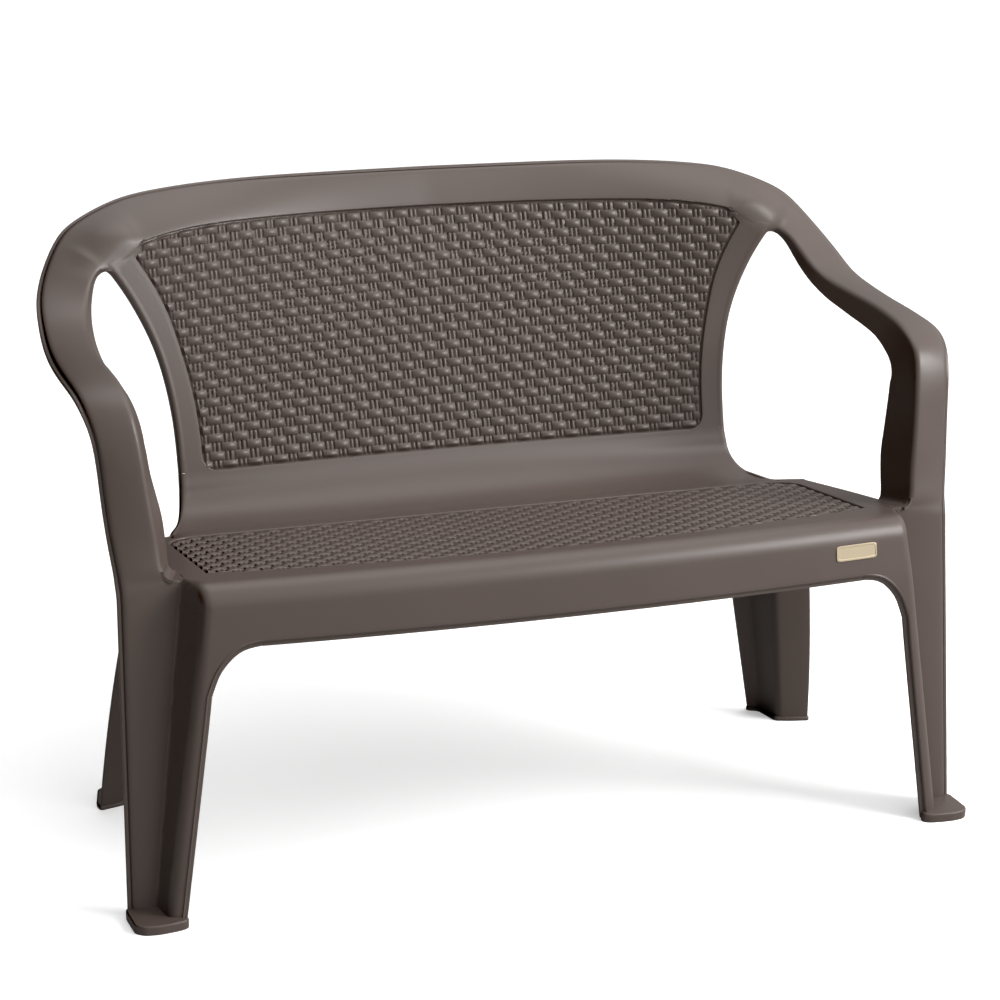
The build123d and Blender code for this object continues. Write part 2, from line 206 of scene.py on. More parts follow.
def deckZ(y):
    # the deck is a plane that falls towards the back
    return form["seatHeight"] - form["seatFall"] * (y - form["seatFront"])


def backY(x, z):
    # reclined back that wraps forward at the sides, more so towards the top
    rise = z - form["backBottom"]
    return form["backSetback"] + form["backSlope"] * rise - (0.08e-3 + 1.03e-6 * rise) * x * x


def weaveFrontY(x):
    # front edge of the seat's woven field, a shallow parabola
    return form["weaveFront"] + form["weaveBow"] * x * x


def fieldTop(x):
    # top edge of the back's woven field, flat in the middle and falling with the eighth power of x
    return form["backTop"] - 18.0 * (np.abs(x) / 435.0)**8


# heights and half widths of the back's woven field
fieldEdge = vec(441, 361, 500, 363, 550, 369, 600, 380, 650, 395, 700, 420, 722, 434).reshape(-1, 2)


def fieldHalf(z):
    # spline through fieldEdge, constant above its last point
    return splineAt(fieldEdge[:, 0], fieldEdge[:, 1], np.minimum(z, fieldEdge[-1, 0]))[:, 0]


def rollCentre(x):
    # the circle tangent to the apron's face line and the deck line, for each x
    a, b = math.atan(form["apronLean"]), math.atan(form["seatFall"])
    y0 = form["apronFront"] + form["bow"] * x * x
    r = form["frontRoll"]
    faceSum = r + y0 * math.cos(a) - form["apronBottom"] * math.sin(a)
    deckSum = r - form["seatFront"] * math.sin(b) - form["seatHeight"] * math.cos(b)
    det = -math.cos(a) * math.cos(b) - math.sin(a) * math.sin(b)
    cy = (-faceSum * math.cos(b) + math.sin(a) * deckSum) / det
    cz = (math.cos(a) * deckSum + math.sin(b) * faceSum) / det
    return cy, cz


def frontSkin(x, k):
    # k 0 to 1 climbs the face, 1 to 2 goes over the roll, 2 to 3 runs back along the deck to the weave
    a, b = math.atan(form["apronLean"]), math.atan(form["seatFall"])
    cy, cz = rollCentre(x)
    r = form["frontRoll"]
    topZ = cz + r * math.sin(a)
    z = form["apronBottom"] + np.minimum(k, 1) * (topZ - form["apronBottom"])
    y = faceY(x, z)
    turn = (math.pi - a) + (math.pi / 2 - b - math.pi + a) * np.clip(k - 1, 0, 1)
    y = np.where(k > 1, cy + r * np.cos(turn), y)
    z = np.where(k > 1, cz + r * np.sin(turn), z)
    deckStart = cy + r * math.sin(b)
    alongY = deckStart + (weaveFrontY(x) - deckStart) * (k - 2)
    y = np.where(k > 2, alongY, y)
    z = np.where(k > 2, deckZ(alongY), z)
    return np.stack([x, y, z], axis=-1)


def dropEdge(edge, away, normal, radius, depth):
    # convex rounding at an edge: away leaves the surface sideways, then the sheet drops by depth
    start = edge - away * radius
    end = edge - normal * radius
    columns = cornerArc(start, edge, end, 5)
    return columns + [edge - normal * (radius + depth) / 2, edge - normal * depth]


# Two finishes: taupe polypropylene and the badge's pale brass.
finish = {
    "light": (0.092, 0.068, 0.058), "dark": (0.066, 0.048, 0.041),
    "roughness": 0.40, "gloss": 0.42, "grainScale": 1500.0, "grainDepth": 0.00003,
    "brassLight": (0.80, 0.69, 0.50), "brassDark": (0.55, 0.45, 0.31),
    "brassRoughness": 0.30, "brassGrainScale": 2400.0, "brassGrainDepth": 0.00002,
}


def grainGroup():
    # fine moulded grain: tone and roughness masks with a height, all on the object's own coordinates
    group = bpy.data.node_groups.new("mouldGrain", "ShaderNodeTree")
    face = group.interface
    face.new_socket(name="Scale", in_out="INPUT", socket_type="NodeSocketFloat").default_value = 1500.0
    face.new_socket(name="Roughness", in_out="INPUT", socket_type="NodeSocketFloat").default_value = 0.45
    face.new_socket(name="Tone", in_out="OUTPUT", socket_type="NodeSocketFloat")
    face.new_socket(name="Roughness", in_out="OUTPUT", socket_type="NodeSocketFloat")
    face.new_socket(name="Height", in_out="OUTPUT", socket_type="NodeSocketFloat")
    nodes, links = group.nodes, group.links
    given = nodes.new("NodeGroupInput")
    out = nodes.new("NodeGroupOutput")
    coords = nodes.new("ShaderNodeTexCoord")
    fine = nodes.new("ShaderNodeTexNoise")
    fine.inputs["Detail"].default_value = 3.0
    fine.inputs["Roughness"].default_value = 0.6
    broad = nodes.new("ShaderNodeTexNoise")
    broad.inputs["Scale"].default_value = 7.0
    broad.inputs["Detail"].default_value = 2.0
    links.new(coords.outputs["Object"], fine.inputs["Vector"])
    links.new(coords.outputs["Object"], broad.inputs["Vector"])
    links.new(given.outputs["Scale"], fine.inputs["Scale"])
    tone = nodes.new("ShaderNodeMix")
    tone.inputs["Factor"].default_value = 0.45
    links.new(fine.outputs["Fac"], tone.inputs["A"])
    links.new(broad.outputs["Fac"], tone.inputs["B"])
    links.new(tone.outputs["Result"], out.inputs["Tone"])
    spread = nodes.new("ShaderNodeMath")
    spread.operation = "MULTIPLY_ADD"
    spread.inputs[1].default_value = 0.14
    links.new(tone.outputs["Result"], spread.inputs[0])
    shift = nodes.new("ShaderNodeMath")
    shift.operation = "SUBTRACT"
    shift.inputs[1].default_value = 0.07
    links.new(given.outputs["Roughness"], shift.inputs[0])
    links.new(shift.outputs[0], spread.inputs[2])
    links.new(spread.outputs[0], out.inputs["Roughness"])
    links.new(fine.outputs["Fac"], out.inputs["Height"])
    return group


grain = grainGroup()


def mouldMaterial(name, light, dark, roughness, grainScale, grainDepth, metallic=0.0):
    # two tones mixed by the grain, which also drives roughness and a shallow bump
    material = bpy.data.materials.new(name)
    material.use_nodes = True
    nodes, links = material.node_tree.nodes, material.node_tree.links
    shader = nodes["Principled BSDF"]
    shader.inputs["Metallic"].default_value = metallic
    shader.inputs["Specular IOR Level"].default_value = finish["gloss"]
    use = nodes.new("ShaderNodeGroup")
    use.node_tree = grain
    use.inputs["Scale"].default_value = grainScale
    use.inputs["Roughness"].default_value = roughness
    mix = nodes.new("ShaderNodeMix")
    mix.data_type = "RGBA"
    mix.inputs[6].default_value = (*dark, 1)
    mix.inputs[7].default_value = (*light, 1)
    bump = nodes.new("ShaderNodeBump")
    bump.inputs["Strength"].default_value = 0.5
    bump.inputs["Distance"].default_value = grainDepth
    links.new(use.outputs["Tone"], mix.inputs[0])
    links.new(mix.outputs[2], shader.inputs["Base Color"])
    links.new(use.outputs["Roughness"], shader.inputs["Roughness"])
    links.new(use.outputs["Height"], bump.inputs["Height"])
    links.new(bump.outputs["Normal"], shader.inputs["Normal"])
    return material


mouldedTaupe = mouldMaterial("mouldedTaupe", finish["light"], finish["dark"], finish["roughness"],
                             finish["grainScale"], finish["grainDepth"])
badgeBrass = mouldMaterial("badgeBrass", finish["brassLight"], finish["brassDark"], finish["brassRoughness"],
                           finish["brassGrainScale"], finish["brassGrainDepth"], metallic=1.0)
print("materials made")

# The rim is one swept section: leg plates, arm posts, bends, armrests and the top rail.
rim = {
    "steps": 9,           # sections between two given stations
    "outerRoll": 7.0,     # radius of the rolled outer edge
    "rollDepth": 3.4,     # how far the edge rolls down to its crease
    "lip": 5.6,           # how far the outer lip stands out of the crease
    "crown": 0.09,        # doming of the plate
    "foldGrip": 0.55,     # how far the plate takes the side frame's own slope at the fold
    "foldBehind": 0.5,    # how far behind the side frame the fold ends
}
# stations of the plate's outer and inner edges (x, y, z): up the leg, along the arm, then the top rail
legHeights = vec(4, 100, 200, 300, 375)
legOuter = np.stack([563.5 - 0.0155 * legHeights, -254 + 0.104 * legHeights, legHeights], axis=1)
legInner = np.stack([530.2 - 0.125 * legHeights, -254 + 0.104 * legHeights, legHeights], axis=1)
armOuter = vec(557.6, -213.2, 392, 558, -211.2, 401, 558.6, -208.4, 409, 559.5, -204.8, 420,
               561.8, -199.5, 440, 566, -191, 476, 570, -181, 530, 575, -169, 582, 580, -153, 605,
               584, -130, 621, 588, -80, 632, 588, 0, 639, 583, 70, 649, 577, 123, 663, 572, 156, 681,
               563, 183, 701, 550, 205, 722, 533, 224, 744).reshape(-1, 3)
armInner = vec(481.5, -213.4, 395, 481, -212.2, 411, 490, -212.3, 413.8, 499.5, -212.3, 420.5,
               504.5, -208, 441, 508, -202, 476, 514, -192, 530, 519, -180, 580, 523, -166, 608,
               525, -137, 627, 528, -80, 640, 530, -5, 646, 525, 62, 652, 518, 107, 662, 511, 136, 677,
               503, 153, 693.5, 494, 165, 705.5, 480, 176.5, 712.3).reshape(-1, 3)
# where the inner flange ends, measured from the arm's inner edge at each station
armFlange = vec(-1, 4, 0, -1, 6, -6, -5, 14, -16, -19, 48, -18, -20, 49, -4, -21, 52, 0,
                -16, 52, -3, -16, 44, -18, -18, 31, -32, -18, 16, -34, -18, 4, -28,
                -16, 2, -26, -13, 5, -21, -10, 9, -15, -8, 10, -11, -6, 10, -9, -4, 10, -7,
                -2, 10, -3).reshape(-1, 3)
railOuter = vec(506, 241, 765, 449, 262, 787, 393, 273.5, 797, 279, 287, 804, 140, 295, 805,
                0, 298, 805).reshape(-1, 3)
railInnerX = vec(448, 420, 380, 279, 140, 0)
railInnerZ = np.where(railInnerX > 435, 712.3 + (480 - railInnerX) * 0.51, fieldTop(railInnerX))
railInner = np.stack([railInnerX, backY(railInnerX, railInnerZ), railInnerZ], axis=1)
# the fold beyond the opening's top: stations after the apex, flange ends and edge radii
foldAfter = vec(0.25, 0.6, 1.0, 1.66, 1.92)
foldFlange = vec(-7, 0, -8, -10, 0, -12, -10, 0, -14, -4, 0, -6, 0, 4.6, -1.9, 0, 4.6, -1.9).reshape(-1, 3)
foldRadius = vec(7.0, 11.0, 13.0, 5.0, 2.0, 1.4)
foldWeight = vec(1.0, 1.0, 1.0, 1.0, 0.0, 0.0)


def smoothRow(values, reach):
    # moving average along the path, with the ends held
    kernel = np.ones(2 * reach + 1) / (2 * reach + 1)
    padded = np.concatenate([np.repeat(values[:1], reach, 0), values, np.repeat(values[-1:], reach, 0)])
    return np.stack([np.convolve(padded[:, c], kernel, "valid") for c in range(values.shape[1])], axis=1)


def rimGrid():
    # section: inner flange, rounded inner edge, domed plate, rolled outer edge, crease and lip,
    # carried along splines through the edge stations, the whole of one side of the bench
    outerKnots = np.concatenate([legOuter, armOuter, railOuter])
    innerKnots = np.concatenate([legInner, armInner, railInner])
    count = len(outerKnots)
    legs, rails = len(legOuter), len(railOuter)
    t = np.r_[0, np.cumsum(np.linalg.norm(np.diff((outerKnots + innerKnots) / 2, axis=0), axis=1))]
    index = np.linspace(0, count - 1, rim["steps"] * (count - 1) + 1)
    where = np.interp(index, np.arange(count), t)
    outerEdge, innerEdge = splineAt(t, outerKnots, where), splineAt(t, innerKnots, where)
    apex = legs + len(armFlange) - 1
    # beyond the apex the inner edge folds on to the side frame, then drops into the field's groove
    knotIndex = np.r_[np.arange(apex + 1), apex + foldAfter, apex + rails]
    hangKnots = np.concatenate([np.tile(vec(-1, 4, 0), (legs, 1)), armFlange, foldFlange])
    armRadius = np.r_[2.0, 3.0, 4.5, np.full(len(armFlange) - 4, 6.0), 5.0]
    radiusKnots = np.r_[np.full(legs, 1.5), armRadius, foldRadius]
    backKnots = np.interp(knotIndex, [apex - 2, apex + 3], [0, 0.6])
    foldKnots = np.r_[np.zeros(apex), 0.6, foldWeight]
    extra = np.concatenate([hangKnots, np.stack([radiusKnots, backKnots, foldKnots], axis=1)], axis=1)
    spread = np.stack([np.interp(index, knotIndex, extra[:, c]) for c in range(extra.shape[1])], axis=1)
    spread = smoothRow(spread, 2)
    hang = spread[:, :3]
    radius, backShare, fold = spread[:, 3:4], spread[:, 4:5], spread[:, 5:6]
    frameY = backY(innerEdge[:, 0] + hang[:, 0], innerEdge[:, 2] + hang[:, 2])
    behind = frameY + rim["foldBehind"] - innerEdge[:, 1]
    hang[:, 1] = hang[:, 1] * (1 - fold[:, 0]) + behind * fold[:, 0]
    tangent = unit(np.gradient((outerEdge + innerEdge) / 2, axis=0))
    tangent[-1] = vec(-1, 0, 0)
    across = unit(outerEdge - innerEdge)
    up = unit(np.cross(across, tangent))
    slope = unit(np.tile(vec(0, form["backSlope"], 1), (len(across), 1)))
    leave = unit(across * (1 - backShare) + slope * backShare)
    arrive = unit(across * 1.6 - leave * 0.6)
    dome = rim["crown"] * (1 - backShare)
    leave, arrive = unit(leave + up * dome), unit(arrive - up * dome)
    grip = rim["foldGrip"] * fold
    leave = unit(leave * (1 - grip) - unit(hang) * grip)
    rolled = outerEdge - across * rim["lip"]
    roll = np.full_like(radius, rim["outerRoll"])
    columns = [innerEdge + hang, innerEdge + hang * 0.66, innerEdge + hang * 0.33]
    size = np.linalg.norm(hang, axis=1, keepdims=True)
    start = innerEdge + leave * radius
    columns += cornerArc(innerEdge + unit(hang) * np.minimum(radius, size * 0.8), innerEdge, start, 6)
    end = rolled - arrive * roll
    columns += hermite(start, end, leave, arrive, np.linspace(0, 1, 11)[1:-1])
    columns += cornerArc(end, rolled, rolled - up * rim["rollDepth"], 8)
    for outwards, down in ((0.1, 1.6), (0.6, 2.0), (1.1, 1.6), (1.4, 0.5)):     # narrow dark crease
        columns.append(rolled - up * (rim["rollDepth"] + down) + across * outwards)
    for inwards, down in ((1.0, 0.4), (0.3, 0.9), (0.0, 1.7), (0.0, 4.0)):
        columns.append(outerEdge - up * (rim["rollDepth"] + down) - across * inwards)
    return toGrid(columns), up


rightRim, rimUp = rimGrid()
middle = rightRim.shape[0] // 2 - 1
rimGrids = [(rightRim, rimUp[middle]), (mirrored(rightRim), rimUp[middle] * vec(-1, 1, 1))]
rimObject = buildMesh("armAndRailRim", rimGrids, wall=shell["wall"])
place(rimObject, mouldedTaupe, "moulding", "top_rail",
      *bothSides("arm_post", "arm_bend", "armrest", "back_corner", "post_root"))
print("rim made")

# The back frame: the lumbar roll that turns the deck up into the back, and the side frames beside the weave.
backFrame = {
    "cornerRadius": 20.0,      # lower corner of the woven field
    "topCornerX": 432.5, "topCornerZ": 719.0, "topCornerWide": 15.0,
    "grooveRound": 1.6, "grooveDepth": 6.5,
    "edgeRound": 6.0, "edgeDrop": 10.0,
    "frontRound": 1.6, "frontDepth": 6.0, "frontEnd": 404.0,
    "wrapFrom": 395.0, "wrapOver": 30.0,       # heights where the roll takes on the back's wrap
    "sinkFrom": 0.93, "sinkLength": 0.07, "sink": 3.0,
}
# outer edge of the side frame (x, z) from the roll to the top of the arm opening
sideEdge = vec(394.5, 441, 396, 500, 402, 550, 414, 600, 435, 650, 448, 674, 458, 690, 464, 699,
               471, 707.5, 480, 712.3).reshape(-1, 2)
# half widths of the lumbar roll from the deck up to the side frame
lumbarSide = vec(433, 430, 424, 413, 405, 400, 397, 395.5, 394.5)


def lumbarProfile(steps):
    # deck line, then the circle that turns it up into the back: points (y, z) and outward normals
    fall, rise = math.atan(form["seatFall"]), math.atan2(1.0, form["backSlope"])
    end = vec(form["backSetback"], form["backBottom"])
    centre = end + form["lumbarRadius"] * vec(-math.sin(rise), math.cos(rise))
    turn = np.linspace(-fall, rise, steps)
    arc = centre + form["lumbarRadius"] * np.stack([np.sin(turn), -np.cos(turn)], axis=1)
    lineY = np.linspace(form["weaveRear"], arc[0, 0], 4)[:-1]
    lineZ = np.interp(lineY, [form["weaveRear"], arc[0, 0]], [deckZ(form["weaveRear"]), arc[0, 1]])
    line = np.stack([lineY, lineZ], axis=1)
    angle = np.r_[np.full(3, -fall), turn]
    return np.concatenate([line, arc]), np.stack([-np.sin(angle), np.cos(angle)], axis=1)


def lumbarPoint(x, y, z):
    # the roll wraps forward with the back, fading out towards the deck
    blend = np.clip((z - backFrame["wrapFrom"]) / backFrame["wrapOver"], 0, 1)
    wrapZ = np.maximum(z, 400.0)
    forward = backY(x, wrapZ) - backY(0 * x, wrapZ)
    return np.stack([x, y + forward * blend, z], axis=-1)


def frontDrop(row, normal, reach):
    # rounded step down into the woven seat, fading out where the plain border takes over
    share = np.clip((backFrame["frontEnd"] - reach) / 8, 0.001, 1)[:, None]
    out = np.tile(vec(0, normal[0], normal[1]), (len(row), 1))
    ahead = np.tile(unit(vec(0, -1, form["seatFall"])), (len(row), 1))
    r = backFrame["frontRound"] * share
    columns = cornerArc(row - ahead * r, row, row - out * r, 4)
    return np.stack([row - out * backFrame["frontDepth"] * share] + columns[::-1])


def lumbarMiddleGrid(half):
    # the roll's profile carried straight across, with rounded steps down to the seat's and the back's weave
    profile, normal = lumbarProfile(26)
    x = np.linspace(-half, half, 49)
    xs, ys = np.meshgrid(x, profile[:, 0])
    zs = np.meshgrid(x, profile[:, 1])[1]
    body = lumbarPoint(xs, ys, zs)
    slope = math.hypot(1, form["backSlope"])
    up = vec(0, form["backSlope"], 1) / slope
    out = vec(0, -1, form["backSlope"]) / slope
    rounding = dropEdge(body[-1], up, out, backFrame["grooveRound"], backFrame["grooveDepth"])
    body[-1] = body[-1] - up * backFrame["grooveRound"]
    return np.concatenate([frontDrop(body[0], normal[0], np.abs(x)), body[1:], np.stack(rounding[1:])])


def stileGrid(half):
    # rows climb from the roll's end to the rim, columns cross from the groove to the arm opening
    rows = 90
    f = np.linspace(0, 1, rows)
    corner = backFrame["cornerRadius"]
    angle = np.linspace(0, math.pi / 2, 16)
    roundX = half + corner * np.sin(angle)
    roundZ = form["backBottom"] + corner * (1 - np.cos(angle))
    roundX = roundX + (fieldHalf(roundZ) - fieldHalf(vec(form["backBottom"]))[0]) * np.sin(angle)
    straightZ = np.linspace(roundZ[-1], backFrame["topCornerZ"], 60)[1:]
    topAngle = np.linspace(0, math.pi / 2, 10)[1:]
    topX = backFrame["topCornerX"] - backFrame["topCornerWide"] * (1 - np.cos(topAngle))
    cornerTop = fieldTop(vec(backFrame["topCornerX"] - backFrame["topCornerWide"]))[0]
    topZ = backFrame["topCornerZ"] + (cornerTop - backFrame["topCornerZ"]) * np.sin(topAngle)
    straight = np.stack([fieldHalf(straightZ), straightZ], 1)
    edge = np.concatenate([np.stack([roundX, roundZ], 1), straight, np.stack([topX, topZ], 1)])
    length = np.r_[0, np.cumsum(np.linalg.norm(np.diff(edge, axis=0), axis=1))]
    inner = np.stack([np.interp(f * length[-1], length, edge[:, c]) for c in range(2)], axis=1)
    outerKnot = np.r_[0, np.cumsum(np.linalg.norm(np.diff(sideEdge, axis=0), axis=1))]
    outer = splineAt(outerKnot, sideEdge, f * outerKnot[-1])
    innerPoint = np.stack([inner[:, 0], backY(inner[:, 0], inner[:, 1]), inner[:, 1]], axis=1)
    outerPoint = np.stack([outer[:, 0], backY(outer[:, 0], outer[:, 1]), outer[:, 1]], axis=1)
    slope = math.hypot(1, form["backSlope"])
    normal = np.tile(vec(0, -1, form["backSlope"]) / slope, (rows, 1))
    alongInner = unit(np.gradient(innerPoint, axis=0))
    awayInner = unit(np.cross(alongInner, normal))
    awayInner = awayInner * np.sign(np.sum(awayInner * vec(-1, 0, 0.4), axis=1, keepdims=True))
    alongOuter = unit(np.gradient(outerPoint, axis=0))
    awayOuter = unit(np.cross(normal, alongOuter))
    awayOuter = awayOuter * np.sign(np.sum(awayOuter * vec(1, 0, -0.2), axis=1, keepdims=True))
    left = dropEdge(innerPoint, awayInner, normal, backFrame["grooveRound"], backFrame["grooveDepth"])[::-1]
    right = dropEdge(outerPoint, awayOuter, normal, backFrame["edgeRound"], backFrame["edgeDrop"])
    middlePart = []
    for share in np.linspace(0, 1, 12)[1:-1]:
        p = left[-1] * (1 - share) + right[0] * share
        middlePart.append(np.stack([p[:, 0], backY(p[:, 0], p[:, 2]), p[:, 2]], axis=1))
    # the last rows sink behind the rim's fold, with the square of the distance
    grid = toGrid(left + middlePart + right)
    late = np.clip((f - backFrame["sinkFrom"]) / backFrame["sinkLength"], 0, 1)
    grid[:, :, 1] += backFrame["sink"] * late[:, None]**2
    return grid


def lumbarSideGrid(half, top):
    # columns match the stile's own columns at its first row, so that the two weld
    profile, normal = lumbarProfile(26)
    steps = np.linspace(0, 1, len(profile))
    wide = splineAt(np.linspace(0, 1, len(lumbarSide)), lumbarSide, steps)[:, 0]
    plain = top[7:18]      # the stile's columns between its two rounded edges
    share = (plain[:, 0] - half) / (lumbarSide[-1] - half)
    share = np.r_[0.0, share[1:]]
    x = half + (wide[:, None] - half) * share[None, :]
    body = lumbarPoint(x, np.repeat(profile[:, :1], x.shape[1], 1), np.repeat(profile[:, 1:], x.shape[1], 1))
    out3 = np.stack([0 * steps, normal[:, 0], normal[:, 1]], axis=1)
    edge = lumbarPoint(wide, profile[:, 0], profile[:, 1])
    along = unit(np.gradient(edge, axis=0))
    away = unit(np.cross(out3, along))
    away = away * np.sign(away[:, :1])
    right = dropEdge(edge, away, out3, backFrame["edgeRound"], backFrame["edgeDrop"])
    whole = np.concatenate([body, toGrid(right)], axis=1)
    return np.concatenate([frontDrop(whole[0], normal[0], whole[0, :, 0]), whole[1:]])


fieldStart = fieldHalf(vec(form["backBottom"]))[0] - backFrame["cornerRadius"]
middleGrid = lumbarMiddleGrid(fieldStart)
stile = stileGrid(fieldStart)
lumbarEdge = lumbarSideGrid(fieldStart, stile[0])
forwardUp = vec(0, -1, 0.5)
backObject = buildMesh("backFrameAndLumbar", [
    (middleGrid, vec(0, -1, 1)), (lumbarEdge, vec(0, -1, 1)), (mirrored(lumbarEdge), vec(0, -1, 1)),
    (stile, forwardUp), (mirrored(stile), forwardUp)], wall=shell["wall"])
place(backObject, mouldedTaupe, "moulding", "lumbar_band", *bothSides("back_stile"))
print("back frame made")

# The front skin: apron, front roll and the stepped front legs.
front = {
    "ridgeRound": 11.0, "lipWide": 5.5, "lipBehind": 4.2, "beadRound": 2.8, "cornerFillet": 4.0,
    "apronHalf": 400.0, "archEnd": 285.0, "grooveRound": 1.6, "grooveDepth": 6.0,
}
# arch between the apron's lower edge and the leg's inner edge (x, z)
archPoints = vec(400, 343, 423, 338, 441, 324, 450, 312, 457, 296, 461, 285).reshape(-1, 2)


def lipColumns(edge, away, normal):
    # from the lip's end to the face: recessed strip, crease and rounded bead
    bead, wide, behind = front["beadRound"], front["lipWide"], front["lipBehind"]
    face = edge - away * wide
    columns = [edge - normal * (behind + 4.0), edge - normal * (behind + 0.9),
               edge - away * 0.3 - normal * (behind + 0.2),
               edge - away * 1.1 - normal * behind, face + away * 0.5 - normal * behind,
               face + away * 0.02 - normal * (behind - 0.4)]
    return columns + cornerArc(face - normal * bead * 0.9, face, face - away * bead, 5)


def ridgeX(z):
    # the leg's front ridge leans inwards on a straight line
    return 524.0 - 0.144 * z


def webCorner(z):
    # straight line where the leg's side wall meets its rear plate
    return np.stack([530.0 - 0.125 * z, -254.0 + 0.104 * z, z], axis=-1)


def wallColumns(faceEnd, ridge, web):
    # convex rounding at the ridge, the side wall, and a concave fillet on to the leg's rear plate
    toFace, toWeb = unit(faceEnd - ridge), web - ridge
    size = np.linalg.norm(toWeb, axis=1, keepdims=True)
    r = np.minimum(front["ridgeRound"], size * 0.45)
    start = ridge + toFace * r
    wallStart = ridge + unit(toWeb) * r
    columns = cornerArc(start, ridge, wallStart, 9)
    fillet = np.minimum(front["cornerFillet"], size * 0.3)
    wallEnd = web - unit(toWeb) * fillet
    columns += [wallStart + (wallEnd - wallStart) * f for f in (0.33, 0.67)]
    outward = np.tile(vec(1, 0, 0), (len(web), 1))
    plateSide = web + outward * fillet + vec(0, 0.15, 0)
    columns += cornerArc(wallEnd, web, plateSide, 5)
    return columns, start


def legInnerX(z):
    # the leg's inner edge, a straight line that eases into the arch's end
    end, lowest = front["archEnd"], archPoints[-1, 0]
    return 500 - 0.139 * z + (lowest - (500 - 0.139 * end)) * np.exp((z - end) / 25)


def frontNormal(x, k):
    # cross product of the skin's two directions
    e = 0.5
    gx = frontSkin(x + e, k) - frontSkin(x - e, k)
    gk = frontSkin(x, k + 0.01) - frontSkin(x, k - 0.01)
    return unit(np.cross(gx, gk))


def skinRows():
    # steps up the face, over the roll and back along the deck
    return np.r_[np.linspace(0, 1, 9), np.linspace(1, 2, 13)[1:], np.linspace(2, 3, 11)[1:]]


def apronMiddleGrid(kRows):
    # lip, apron, roll and deck between the two arches, ending in the groove round the woven seat
    x = np.linspace(-front["apronHalf"], front["apronHalf"], 81)
    body = [frontSkin(x, np.full_like(x, k)) for k in kRows]
    down = np.tile(vec(0, 0, -1), (len(x), 1))
    normal = frontNormal(x, np.full_like(x, 0.0))
    down = unit(down - normal * np.sum(down * normal, axis=1, keepdims=True))
    lip = lipColumns(frontSkin(x, np.zeros_like(x)), down, normal)
    keep = [row for row, k in zip(body, kRows) if k > 0.19]
    deckNormal = unit(np.tile(vec(0, form["seatFall"], 1), (len(x), 1)))
    backwards = unit(np.tile(vec(0, 1, -form["seatFall"]), (len(x), 1)))
    groove = dropEdge(body[-1], backwards, deckNormal, front["grooveRound"], front["grooveDepth"])
    keep[-1] = groove[0]
    return np.stack(lip + keep + groove[1:]), lip[-1]


def cornerGrids(kRows, beadEnd, shares):
    # corner above the leg, from the arch's start round to the deck, and the deck behind the arm post
    half = front["apronHalf"]
    cornerRows = np.concatenate([[0.0], kRows[kRows > 0.19]])
    outerX = np.interp(cornerRows, [0, 1, 2, 2.7, 3], [474.6, 467.8, 468.2, 478.4, 478.4])
    ridge = frontSkin(outerX, cornerRows)
    upTo = np.clip((cornerRows - 1) / 1.7, 0, 1)
    webZ = np.where(cornerRows <= 1, ridge[:, 2], 388 + (412.5 - 388) * upTo)
    walls, start = wallColumns(frontSkin(outerX - 14, cornerRows), ridge, webCorner(webZ))
    columns = [frontSkin(half + (start[:, 0] - half) * f, cornerRows) for f in shares[:-1]]
    columns[0] = frontSkin(np.full(len(cornerRows), half), cornerRows)
    columns[0][0] = beadEnd
    first = int(np.argmax(cornerRows > 2.66))      # from here the post stands on the deck
    upper = toGrid(columns + walls)[:first + 1]
    late = cornerRows[first:]
    deckPart = toGrid([frontSkin(half + (start[first, 0] - half) * f + 0 * late, late) for f in shares])
    deckPart[0] = upper[-1, :len(shares)]
    return upper, deckPart


def frontLegGrid(shares):
    # rows follow the arch and the leg's inner edge down to the foot, columns cross to the rear plate
    arch = splineThrough(archPoints, 6)
    legZ = np.linspace(front["archEnd"], 3, 40)[1:]
    edgeX = np.r_[arch[:, 0], legInnerX(legZ)]
    edgeZ = np.r_[arch[:, 1], legZ]
    edge = np.stack([edgeX, faceY(edgeX, edgeZ), edgeZ], axis=1)
    sideways, upwards = -2 * form["bow"] * edgeX, np.full_like(edgeX, 0.06)
    normal = unit(np.stack([sideways, -np.ones_like(edgeX), upwards], axis=1))
    along = unit(np.gradient(edge, axis=0))
    along[0] = vec(1, 0, 0)
    away = unit(np.cross(along, normal))
    away = away * np.sign(np.sum(away * vec(-1, 0, -1), axis=1, keepdims=True))
    lip = lipColumns(edge, away, normal)
    faceStart = lip[-1]
    rowZ = np.minimum.accumulate(faceStart[:, 2])
    ridge = np.stack([ridgeX(rowZ), faceY(ridgeX(rowZ), rowZ), rowZ], axis=1)
    beside = np.stack([ridgeX(rowZ) - 14, faceY(ridgeX(rowZ) - 14, rowZ), rowZ], 1)
    walls, start = wallColumns(beside, ridge, webCorner(rowZ))
    columns = []
    for f in shares[1:-1]:
        xs = faceStart[:, 0] + (start[:, 0] - faceStart[:, 0]) * f
        columns.append(np.stack([xs, faceY(xs, rowZ), rowZ], axis=1))
    return toGrid(lip + columns + walls), len(lip)


def frontGrids():
    # the four grids share their edge points, so that they weld
    kRows, shares = skinRows(), np.linspace(0, 1, 12)
    apron, beadEnd = apronMiddleGrid(kRows)
    upper, deckPart = cornerGrids(kRows, beadEnd[-1], shares)
    leg, lipCount = frontLegGrid(shares)
    upper[0, 1:] = leg[0, lipCount:]
    return apron, upper, deckPart, leg


